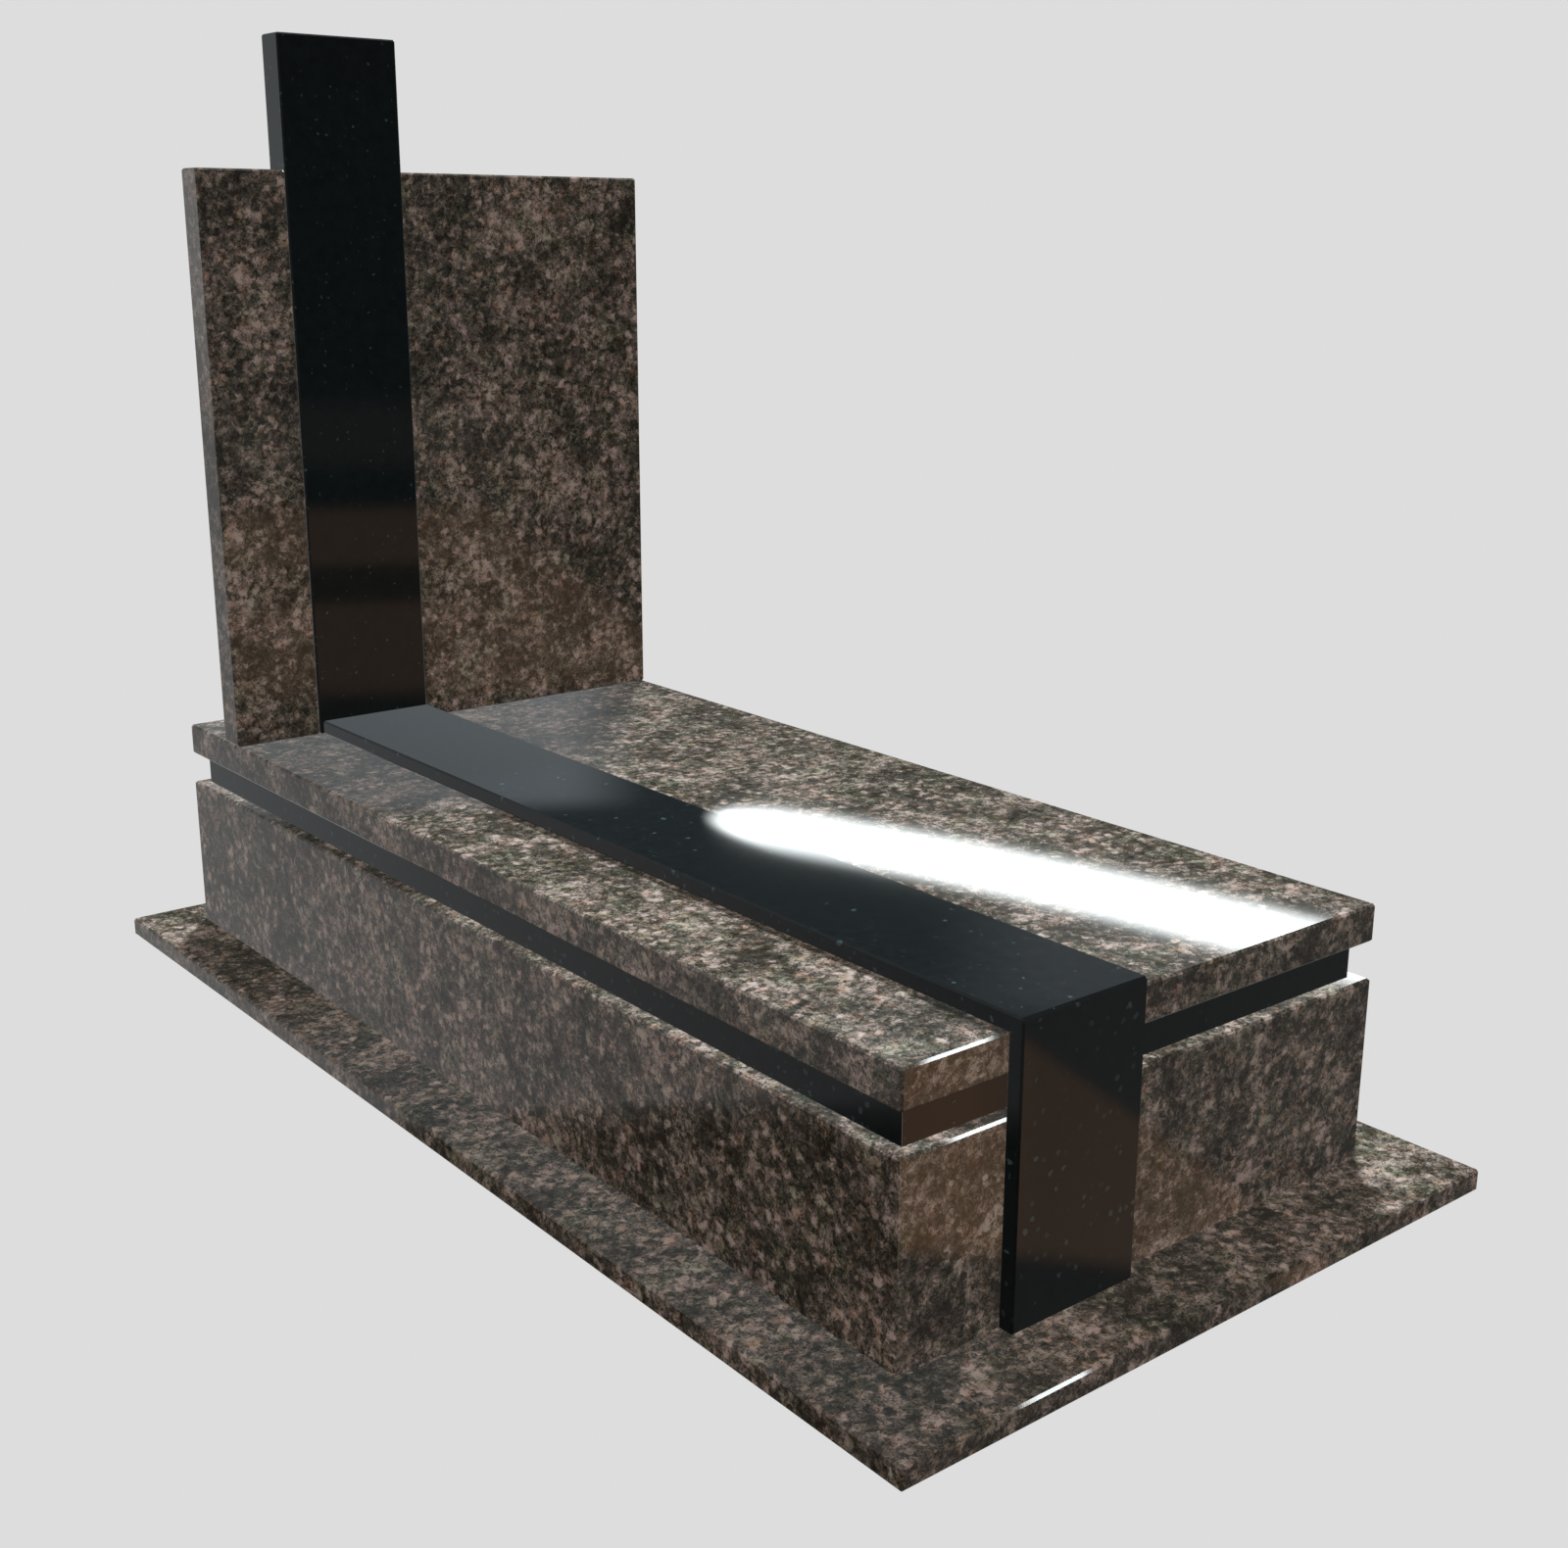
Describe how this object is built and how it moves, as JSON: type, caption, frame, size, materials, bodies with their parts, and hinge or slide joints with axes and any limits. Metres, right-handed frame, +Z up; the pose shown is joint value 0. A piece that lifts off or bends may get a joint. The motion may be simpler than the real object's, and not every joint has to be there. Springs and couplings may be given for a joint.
{
  "type": "grave monument with headstone",
  "caption": "Polished granite grave monument: base slab, kerb, recessed black band, cover slab and upright headstone, with a black stripe that drops over the foot end.",
  "frame": {"origin": "on the underside of the base slab, at the middle of its width and length", "axes": "+Z up, +Y along the grave from the foot end to the headstone, +X across the grave to the right of someone who faces the headstone"},
  "size_m": [1, 2, 1.48],
  "materials": {
    "brown_granite": "polished",
    "black_granite": "polished"
  },
  "bodies": {
    "root": {"base_slab": "brown_granite", "kerb_foot": "brown_granite", "kerb_right": "brown_granite", "kerb_head": "brown_granite", "kerb_left": "brown_granite", "band_foot": "black_granite", "band_right": "black_granite", "band_head": "black_granite", "band_left": "black_granite", "cover_slab": "brown_granite", "headstone_left": "brown_granite", "headstone_right": "brown_granite", "headstone_upright": "black_granite", "stripe_plate": "black_granite", "stripe_drop": "black_granite"}
  },
  "joints": []
}
